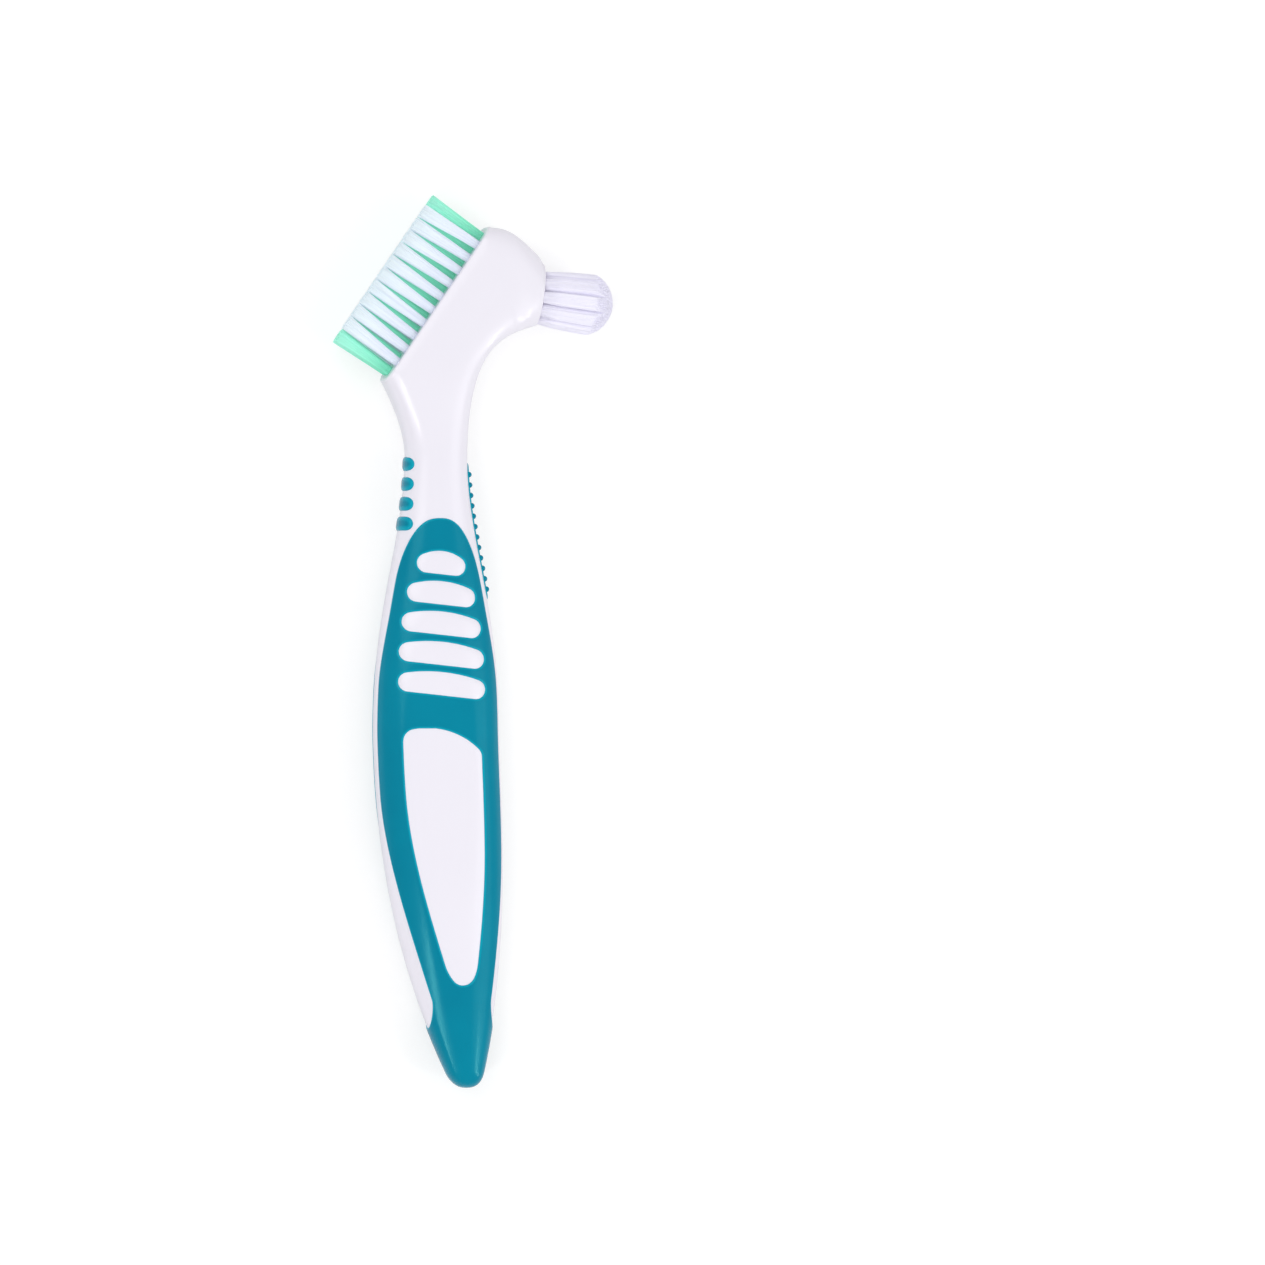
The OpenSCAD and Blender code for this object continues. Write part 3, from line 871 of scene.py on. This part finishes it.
def raise_slot_bars(section, v):
    """Raises a crowned bar of white plastic in every slot, on the back too."""
    m = len(section)
    a = half_arc(v)*(1 - 2*np.arange(m//2 + 1)/(m//2))
    pts = np.column_stack([a, np.full(len(a), v)])
    lift = np.zeros(len(a))
    for loop in slot_loops:
        if abs(loop[:, 1].mean() - v) < SLOT_PITCH:
            depth = np.where(inside(pts, loop), distance(pts, loop), 0)
            f = np.clip(depth/SLOT_BAR_ROUND, 0, 1)
            lift = np.maximum(lift, SLOT_BAR_H*np.sqrt(1 - (1 - f)**2))
    raised = skin_at(a, pts[:, 1], lift)
    for k in np.where(lift > 0)[0]:
        section[k] = raised[k]
        if 0 < k < m//2:
            section[m - k] = raised[k]*[1, 1, -1] + [0, 0, 2*MID]


def make_handle():
    m = RING
    sections = []
    for v in handle_rows():
        section = ring(handle_station(v), m)
        if SLOT_ZONE[0] < v < SLOT_ZONE[1]:
            raise_slot_bars(section, v)
        sections.append(section)
    sections += [ring(station, m) for station in head_stations(flare=30, face=34, top=40)]
    faces = [f for k in range(len(sections) - 1) for f in band(k*m, (k + 1)*m, m)]
    tip = len(sections)*m
    end = ring(handle_station(V_TIP + 1e-6), m).mean(0)
    faces += [(tip, (i + 1) % m, i) for i in range(m)]
    bm = bmesh.new()
    points = [bm.verts.new(tuple(v)) for v in np.vstack(sections + [[end]])]
    for f in faces:
        bm.faces.new([points[i] for i in f])
    bmesh.ops.recalc_face_normals(bm, faces=bm.faces)
    seat_holes = [(r*math.cos(a), r*math.sin(a))
                  for r, turns in ((ring_r, ring_turns), (core_r, core_turns)) for a in turns]
    face_holes = front_row + front_middle_row + rear_middle_row + rear_row
    cap(bm, *seat_frame, SEAT_EDGE, seat_holes)
    cap(bm, *face_frame, FACE_EDGE, face_holes)
    # the caps leave a few hair-thin slits where their rims pass the head's own rows
    bmesh.ops.remove_doubles(bm, verts=[v for v in bm.verts if v.is_boundary], dist=0.1)
    bmesh.ops.holes_fill(bm, edges=[e for e in bm.edges if e.is_boundary])
    bmesh.ops.scale(bm, vec=(MM, MM, MM), verts=bm.verts)
    bmesh.ops.recalc_face_normals(bm, faces=bm.faces)
    mesh = bpy.data.meshes.new("handle_shell")
    bm.to_mesh(mesh)
    bm.free()
    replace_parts(show(mesh, WHITE, "handle_plastic"), "handle")


def cut_loop(bm, origin, out, depth):
    """Cuts off the head past a plane that lies depth below origin, and gives the points round the
    cut in order."""
    head = [f for f in bm.faces if min(v.co.y for v in f.verts) > HEAD_Y]
    points = dict.fromkeys(v for f in head for v in f.verts)
    edges = dict.fromkeys(e for f in head for e in f.edges)
    bmesh.ops.bisect_plane(bm, geom=[*points, *edges, *head], dist=1e-5, clear_outer=True,
                           plane_co=tuple(origin - out*depth), plane_no=tuple(out))

    def on_plane(v):
        return abs(np.dot(np.array(v.co) - origin, out) + depth) < 1e-3
    rim = [v for v in bm.verts if v.is_boundary and on_plane(v)]
    bmesh.ops.remove_doubles(bm, verts=rim, dist=0.03)
    start = next(e for e in bm.edges if e.is_boundary and on_plane(e.verts[0])).verts[0]
    loop, prev, cur = [start], None, start
    while True:
        others = [e.other_vert(cur) for e in cur.link_edges if e.is_boundary]
        others = [v for v in others if v is not prev]
        if not others or others[0] is start:
            return loop
        prev, cur = cur, others[0]
        loop.append(cur)


def join(bm, low, high):
    """Faces between two rings of points."""
    for i in range(len(low)):
        j = (i + 1) % len(low)
        bm.faces.new([low[i], low[j], high[j], high[i]])


def cap(bm, origin, out, ex, r, holes):
    """Cuts the head at a plane, rounds the rim of the cut by r up to that plane and closes it with
    a plate that has the tuft holes."""
    loop = cut_loop(bm, origin, out, r)

    def flattened(v):
        away = np.array(v.co) - origin
        return [np.dot(away, ex), np.dot(away, UP)]
    flat = np.array([flattened(v) for v in loop])
    if area(flat) < 0:
        loop.reverse()
        flat = flat[::-1]
    way_out = outward(flat)
    for _ in range(6):
        way_out = way_out + 0.5*(np.roll(way_out, 1, 0) + np.roll(way_out, -1, 0))
        way_out /= np.linalg.norm(way_out, axis=1, keepdims=True)
    m = len(loop)
    last = loop
    steps = [(r*(1 - math.cos(b)), r*math.sin(b)) for b in np.linspace(0, math.pi/2, 7)[1:]]
    for d, h in steps + [(r + 0.15, r)]:
        q = flat - way_out*d
        new = [bm.verts.new(tuple(origin + ex*p[0] + UP*p[1] + out*(h - r))) for p in q]
        join(bm, last, new)
        last = new
    a = np.linspace(0, 2*math.pi, HOLE_SIDES, endpoint=False)
    circles = [np.column_stack([x + HOLE_D/2*np.cos(a), y + HOLE_D/2*np.sin(a)]) for x, y in holes]
    pts, tris, source = triangles([q] + circles, PLATE_STEP)
    plate = []
    for p, k in zip(pts, source):
        on_rim = 0 <= k < m
        plate.append(last[k] if on_rim else bm.verts.new(tuple(origin + ex*p[0] + UP*p[1])))
    for f in tris:
        bm.faces.new([plate[i] for i in f])
    by_source = dict(zip(source, plate))
    n = m
    for c in circles:
        top = [by_source[n + i] for i in range(len(c))]
        deep = [bm.verts.new(tuple(np.array(v.co) - out*HOLE_DEPTH)) for v in top]
        join(bm, top, deep)
        bm.faces.new(deep)
        n += len(c)


# Tuft places


def row(count, pitch, z):
    """Places (along the face, z from mid thickness) of a row of tufts."""
    return [((i - (count - 1)/2)*pitch, z) for i in range(count)]


def turns_of(count, first):
    """Evenly spread turns from +Y towards +Z in the seat's frame."""
    return [math.radians(first + 360/count*i) for i in range(count)]


middle_count = int((FACE_LEN - 2*TUFT_INSET)/MIDDLE_PITCH) + 1
outer_z = MIDDLE_GAP/2 + OUTER_GAP
front_row = row(middle_count - 1, OUTER_PITCH, outer_z)
rear_row = row(middle_count - 1, OUTER_PITCH, -outer_z)
front_middle_row = row(middle_count, MIDDLE_PITCH, MIDDLE_GAP/2)
rear_middle_row = row(middle_count, MIDDLE_PITCH, -MIDDLE_GAP/2)
ring_r = SEAT_D/2 - SEAT_RIM
core_r = ring_r - RING_GAP
ring_turns = turns_of(RING_TUFTS, 90)
core_turns = turns_of(CORE_TUFTS, 45)

# Filaments. Each tuft is a ring of them and an inner spiral, round a fluted heart
OUTER_STRANDS = 34
INNER_STRANDS = 54
GOLDEN_TURN = 2.39996
OUTER_RING = 0.93     # share of the tuft's radius at which the outer ones stand
INNER_RING = 0.82     # and up to which the inner ones lie
STUB_START = 0.88     # share of the length at which the inner ones start
STRAND_R = 0.1
STRAND_SIDES = 5
STRAND_FOOT = 1.8     # the outer ones start this far down in the hole
STRAY = 0.06          # how far an end may stray sideways
TRIM_STRAY = 0.05     # how unevenly they are trimmed
BOW = 0.05            # how far they bow at most
HEART_R = 0.95        # share of the tuft's radius
HEART_FOOT = 1.6      # the heart starts this far down in the hole
HEART_END = 0.94
HEART_BELOW = 0.4     # it ends this far below the filaments
HEART_TONE = 0.75
HEART_SIDES = 68
FLUTES = 17
FLUTE_DEPTH = 0.02


def strands(name, tufts, slot, node, mat, seed, swell=1.0, square=0.6):
    """Tufts of filaments round a solid heart.

    A tuft is its base, its axis and the two ways across, its radius at the base and at the tip,
    its lean along the first way across, and the rule for its length. It widens sooner with a
    larger swell, and its end is squarer with a larger square."""
    rng = random.Random(seed)
    verts, faces, paint = [], [], []

    def tube(rings_, tone):
        """rings_ is a list of (share of the length, points)."""
        k0, n = len(verts), len(rings_[0][1])
        for t, pts in rings_:
            verts.extend(pts)
            paint.extend([(max(t, 0), tone, 0, 1)]*n)
        for k in range(len(rings_) - 1):
            faces.extend(band(k0 + k*n, k0 + (k + 1)*n, n))
        faces.append(tuple(k0 + i for i in reversed(range(n))))
        faces.append(tuple(k0 + (len(rings_) - 1)*n + i for i in range(n)))

    for base, ax, eu, ev, root_r, tip_r, lean, end in tufts:
        def at(t, u, v, length):
            return base + ax*(t*length) + eu*(u + lean*max(t, 0.0)) + ev*v

        def spot(ang, share, t):
            """Across a tuft that is round at its base and squarer at its end."""
            f = 1 - (1 - max(t, 0.0))**swell
            squared = 1.0/max(abs(math.cos(ang)), abs(math.sin(ang)))**(square*f)
            r = (root_r + (tip_r - root_r)*f)*share*squared
            return r*math.cos(ang), r*math.sin(ang)
        phase = rng.uniform(0, 6.28)
        heart = []
        for t in (-HEART_FOOT/BRISTLE_LEN, 0.0, 0.3, 0.65, HEART_END):
            pts = []
            for i in range(HEART_SIDES):
                ang = 2*math.pi*i/HEART_SIDES
                share = HEART_R + FLUTE_DEPTH*math.cos(FLUTES*ang + phase)
                u, v = spot(ang, share, t)
                if t == HEART_END:
                    length = end(base, ax, eu, ev, u, v)
                    pts.append(at((length - HEART_BELOW)/length, u, v, length))
                else:
                    pts.append(at(t, u, v, BRISTLE_LEN))
            heart.append((t, pts))
        tube(heart, HEART_TONE)
        for i in range(OUTER_STRANDS + INNER_STRANDS):
            k = i - OUTER_STRANDS
            if k < 0:
                ang = 2*math.pi*(i + rng.uniform(-0.2, 0.2))/OUTER_STRANDS
                share = OUTER_RING + rng.uniform(-0.05, 0.04)
            else:
                ang = k*GOLDEN_TURN
                share = INNER_RING*math.sqrt((k + 0.5)/INNER_STRANDS)
            tone = rng.random()
            tip_u, tip_v = spot(ang, share, 1.0)
            u1 = tip_u + rng.uniform(-STRAY, STRAY)
            v1 = tip_v + rng.uniform(-STRAY, STRAY)
            length = end(base, ax, eu, ev, u1, v1) - abs(rng.gauss(0, TRIM_STRAY))
            bow = rng.uniform(-BOW, BOW)
            # only the ends of the inner filaments show, so they are short stubs on the heart
            stops = (-STRAND_FOOT/length, 0.3, 0.7) if k < 0 else (STUB_START,)
            rings_ = []
            for t in stops + (1 - STRAND_R/length, 1.0):
                u0, v0 = spot(ang, share, min(t, 1.0))
                f = max(t, 0.0)
                u = u0 + (u1 - tip_u)*f + bow*4*f*(1 - f)*math.cos(ang + 1)
                v = v0 + (v1 - tip_v)*f + bow*4*f*(1 - f)*math.sin(ang + 1)
                r = STRAND_R*(0.55 if t == 1.0 else 1.0)
                c = at(t, u, v, length)
                around = [2*math.pi*s/STRAND_SIDES + ang for s in range(STRAND_SIDES)]
                rings_.append((t, [c + (eu*math.cos(a) + ev*math.sin(a))*r for a in around]))
            tube(rings_, tone)
    obj = add_mesh(name, verts, faces, mat, slot)
    attr = obj.data.color_attributes.new("strand", "FLOAT_COLOR", "POINT")
    attr.data.foreach_set("color", np.array(paint, np.float32).ravel())
    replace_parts(obj, node)


def flat_end(trim):
    """Rule for tufts that are trimmed flat, trim above the brush's usual length."""
    return lambda base, ax, eu, ev, tu, tv: BRISTLE_LEN + trim


def dome_end(base, ax, eu, ev, tu, tv):
    """Length at which a straight strand meets the dome of the small brush."""
    centre = np.append(SEAT_C + seat_dir*(DOME_LEN - DOME_R), MID)
    p = base + eu*tu + ev*tv - centre
    b = np.dot(p, ax)
    q = b*b - np.dot(p, p) + DOME_R**2
    return -b + math.sqrt(max(q, 0.5))


def make_bristles():
    # the main brush. A kind of row is its material, slot, lean and radii at the base and the tip
    origin, out, ex = face_frame
    white = (WHITE_STRAND, "white_bristle", ROW_LEAN, 0.78, 1.47)
    green = (MINT_STRAND, "mint_bristle", 0.0, 0.9, 1.36)
    rows = (("front", front_row, white), ("front_middle", front_middle_row, green),
            ("rear_middle", rear_middle_row, green), ("rear", rear_row, white))
    for seed, ((name, places, kind), trim) in enumerate(zip(rows, ROW_TRIMS), 11):
        mat, slot, lean, root_r, tip_r = kind
        end = flat_end(trim)
        tufts = [(origin + ex*s + UP*h, out, ex, -UP, root_r, tip_r, lean*s, end)
                 for s, h in places]
        strands(name + "_bristles", tufts, slot, name + "_tuft_row", mat, seed)

    # the small brush, whose outer tufts lean outwards
    origin, ahead, side = seat_frame
    lean = math.atan(SPREAD/(DOME_LEN - DOME_R))
    for name, turns, radius, tilt, tip_r, node, seed in (
            ("small_ring_bristles", ring_turns, ring_r, lean, 1.4, "small_brush_ring", 21),
            ("small_core_bristles", core_turns, core_r, 0.0, 1.3, "small_brush_core", 22)):
        tufts = []
        for turn in turns:
            radial = side*math.cos(turn) + UP*math.sin(turn)
            around = -side*math.sin(turn) + UP*math.cos(turn)
            ax = ahead*math.cos(tilt) + radial*math.sin(tilt)
            eu = radial*math.cos(tilt) - ahead*math.sin(tilt)
            tufts.append((origin + radial*radius, ax, eu, around, 1.0, tip_r, 0.0, dome_end))
        strands(name, tufts, "white_bristle", node, SMALL_STRAND, seed, swell=5.0, square=0.9)


# Grip, finger bars, thumb pad


def make_grip():
    """Both faces of the grip as one skin, whose back mirrors its front. They join at mid thickness
    below -WRAP_Y, where the sides of the front are no edges."""
    v0 = -WRAP_Y
    vs = np.arange(v0 - 0.75, V_TIP + 0.25, -0.4)
    left_edge = np.column_stack([-half_arc(vs), vs])
    right_edge = left_edge[::-1]*[-1, 1]
    tip = np.array([[0.0, V_TIP]])
    outer = [(grip_line, True), (left_edge, False), (tip, False), (right_edge, False)]
    # both ends of the edge run in along the handle's side, so that the two faces still meet
    reach_in = EDGE[-1][0]
    widening = float(half_arc(v0) - half_arc(v0 - reach_in))/reach_in
    ends = [(0, np.array([widening, 1.0])), (len(grip_line) - 1, np.array([-widening, 1.0]))]
    verts, faces, paint = soft_skin(outer, [window_loop] + slot_loops, on_skin, 0.75, ends)
    verts = np.array(verts)
    back = verts*[1, 1, -1] + [0, 0, 2*MID]
    k = len(verts)
    faces = list(faces) + [tuple(i + k for i in reversed(f)) for f in faces]
    obj = add_mesh("soft_grip_skin", np.vstack([verts, back]), faces, TEAL, "soft_grip",
                   paint=paint + paint)
    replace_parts(obj, "grip")
    weld(obj, 0.02)


def edge_skin(side):
    """Places points (a, v) on one edge of the handle: a is the arc length from the edge's middle,
    positive to the front."""
    def place(p, h):
        arc = half_arc(p[:, 1])
        return skin_at(side*(arc - p[:, 0]), p[:, 1], h)
    return place


def make_bar(i):
    y = BAR_Y + i*BAR_PITCH
    end_x = centre_x(y) - BAR_IN - BAR_W/2 - BAR_SPLAY*(BARS - 1 - i)
    a = np.radians(np.linspace(-90, 90, 19))
    plan = np.column_stack([end_x + BAR_W/2*np.cos(a), y + BAR_W/2*np.sin(a)])
    loop = unroll(plan)
    loop[:, 0] += half_arc(loop[:, 1])
    p = resample(np.vstack([loop, loop[::-1]*[-1, 1]]), 0.25, True)
    verts, faces, paint = soft_skin([(p, True)], [], edge_skin(-1), 0.4, edge=PILLOW)
    obj = add_mesh(f"finger_bar_skin_{i + 1}", verts, faces, TEAL, "soft_grip", paint=paint)
    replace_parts(obj, f"finger_bar_{i + 1}")
    weld(obj, 0.02)


def nub(place, a, v, k0):
    """A closed dome at (a, v) of the pad: its points, numbered from k0, and its faces."""
    verts, faces, rows, m = [], [], 6, 18
    for k in range(rows):
        b = math.pi/2*k/(rows - 1)
        r = NUB_D/2*math.cos(b)
        h = PROUD - NUB_SUNK + (NUB_H + NUB_SUNK)*math.sin(b)
        for i in range(m if k < rows - 1 else 1):
            t = 2*math.pi*i/m
            point = np.array([[a + r*math.cos(t), v + r*math.sin(t)]])
            verts.append(place(point, np.array([h]))[0])
    for k in range(rows - 2):
        faces += band(k0 + k*m, k0 + (k + 1)*m, m)
    r0, top = k0 + (rows - 2)*m, k0 + (rows - 1)*m
    faces += [(r0 + i, r0 + (i + 1) % m, top) for i in range(m)]
    faces.append(tuple(k0 + i for i in reversed(range(m))))
    return verts, faces


def make_pad():
    r, loop = PAD_W/2, []
    for start, y in ((0, PAD_Y + PAD_LEN - r), (180, PAD_Y + r)):
        for a in np.radians(np.linspace(start, start + 180, 25)):
            loop.append([r*math.cos(a), y + r*math.sin(a)])
    p = resample(np.array(loop), 0.3, True)
    place = edge_skin(1)
    verts, faces, paint = soft_skin([(p, True)], [], place, 0.5)
    count, nub_row = int((PAD_LEN - PAD_W)/NUB_PITCH), (PAD_W - NUB_D)/2 - NUB_RIM
    for across in (-nub_row, 0.0, nub_row):
        for i in range(count + 1):
            points, domes = nub(place, across, PAD_Y + PAD_W/2 + i*NUB_PITCH, len(verts))
            verts += points
            faces += domes
    paint += [0.0]*(len(verts) - len(paint))
    obj = add_mesh("thumb_pad_skin", verts, faces, TEAL, "soft_grip", paint=paint)
    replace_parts(obj, "thumb_pad")
    weld(obj, 0.004)


# Stage


def make_lamp(name, place, size, power, aim=(0, 0.035, 0.007)):
    data = bpy.data.lights.new(name, "AREA")
    data.shape, data.size, data.size_y, data.energy = "RECTANGLE", size[0], size[1], power
    lamp = link(data)
    lamp.location = place
    lamp.rotation_mode = "QUATERNION"
    lamp.rotation_quaternion = (Vector(aim) - Vector(place)).to_track_quat("-Z", "Y")


def make_stage():
    half = 1.6
    corners = [(-half, -half, 0), (half, -half, 0), (half, half, 0), (-half, half, 0)]
    mesh = bpy.data.meshes.new("floor")
    mesh.from_pydata(corners, [], [(0, 1, 2, 3)])
    floor = link(mesh)

    # the camera sees a white floor with the brush's shadow, other rays see a plain pale one
    m, nt, b = material("pale_floor")
    put(b, Roughness=0.9, Specular_IOR_Level=0.0, Emission_Color=(1, 1, 1, 1))
    seen = nt.nodes.new("ShaderNodeLightPath").outputs["Is Camera Ray"]
    shade = ramp(nt, seen, [(0.0, (0.9, 0.9, 0.905, 1)), (1.0, (0.45, 0.45, 0.45, 1))])
    nt.links.new(shade, b.inputs["Base Color"])
    glow = nt.nodes.new("ShaderNodeMath")
    glow.operation = "MULTIPLY"
    glow.inputs[1].default_value = 0.62
    nt.links.new(seen, glow.inputs[0])
    nt.links.new(glow.outputs[0], b.inputs["Emission Strength"])
    mesh.materials.append(m)

    scene = bpy.context.scene
    scene.view_settings.view_transform = "Standard"
    world = bpy.data.worlds.new("studio")
    scene.world = world
    world.use_nodes = True
    put(world.node_tree.nodes["Background"], Color=(1.0, 1.0, 1.0, 1), Strength=0.58)
    streak, soft, tail = (0.06, 0.7), (0.7, 0.7), (0.003, -0.04, 0.007)
    make_lamp("tail_streak_left", (-0.56, -0.45, 0.83), streak, 2.0, tail)
    make_lamp("tail_streak_right", (0.82, -0.45, 0.58), streak, 1.8, tail)
    make_lamp("soft_upper_left", (-0.42, 0.45, 0.9), soft, 2.5)
    make_lamp("soft_right", (0.75, -0.1, 0.8), soft, 1.6)


def make_camera():
    """Looks down on the brush, tipped to the left by the turn that the photo shows."""
    tip, dist, span, sensor = math.radians(10.5), 3.0, 0.253, 36
    target = Vector((0.0389, 0.0385, 0.007))
    right, up = Vector((math.cos(tip), 0, math.sin(tip))), Vector((0, 1, 0))
    back = Vector((-math.sin(tip), 0, math.cos(tip)))
    data = bpy.data.cameras.new("camera")
    data.sensor_width = sensor
    data.lens = sensor*dist/span
    data.clip_start, data.clip_end = 0.05, 20
    cam = link(data)
    cam.location = target + back*dist
    cam.rotation_mode = "QUATERNION"
    cam.rotation_quaternion = Matrix((right, up, back)).transposed().to_quaternion()
    bpy.context.scene.camera = cam


make_camera()
make_handle()
make_grip()
for i in range(BARS):
    make_bar(i)
make_pad()
make_bristles()
for name in ("main_brush_anchors", "small_brush_anchors"):
    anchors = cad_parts[name]
    anchors.data.materials.clear()
    anchors.data.materials.append(METAL)
make_stage()
